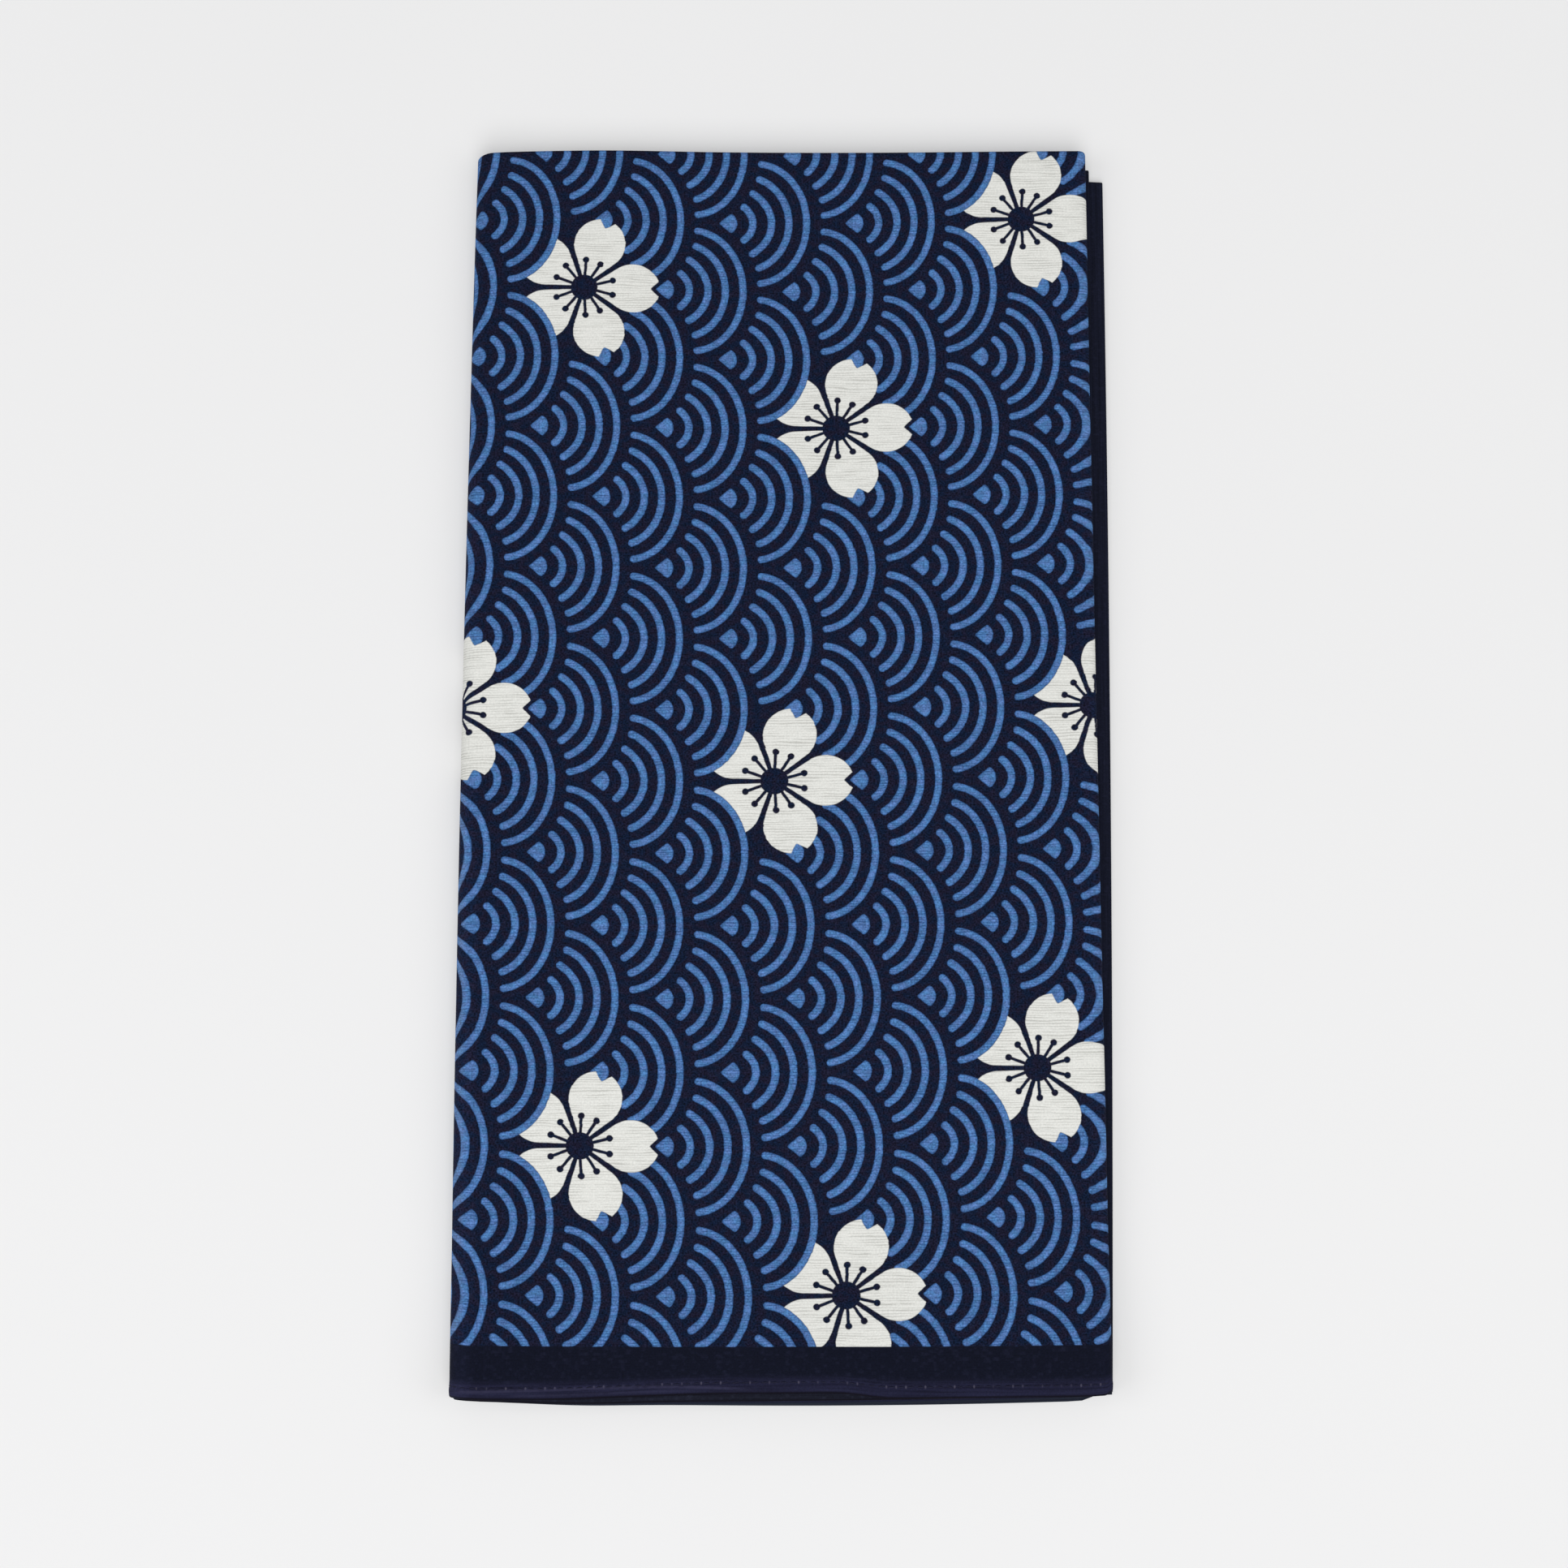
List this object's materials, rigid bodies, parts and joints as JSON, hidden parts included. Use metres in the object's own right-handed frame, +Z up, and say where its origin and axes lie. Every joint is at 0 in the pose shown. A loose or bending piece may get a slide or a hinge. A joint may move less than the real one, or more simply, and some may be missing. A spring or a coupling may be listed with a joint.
{
  "type": "folded furoshiki wrapping cloth",
  "caption": "Square printed wrapping cloth, halved and then folded in four like a book, lying flat with its hems together at one end.",
  "frame": {"origin": "middle of the box of the folded cloth, on the surface that it lies on", "axes": "+Z up, +Y from the hems to the top crease, +X from the outer left fold to the free edges"},
  "size_m": [0.1836, 0.3528, 0.0125],
  "materials": {
    "printed_cotton": "matt slubbed cotton, printed with blue waves and off-white blossoms on navy"
  },
  "bodies": {
    "root": {"furoshiki_cloth": "printed_cotton"}
  },
  "joints": []
}
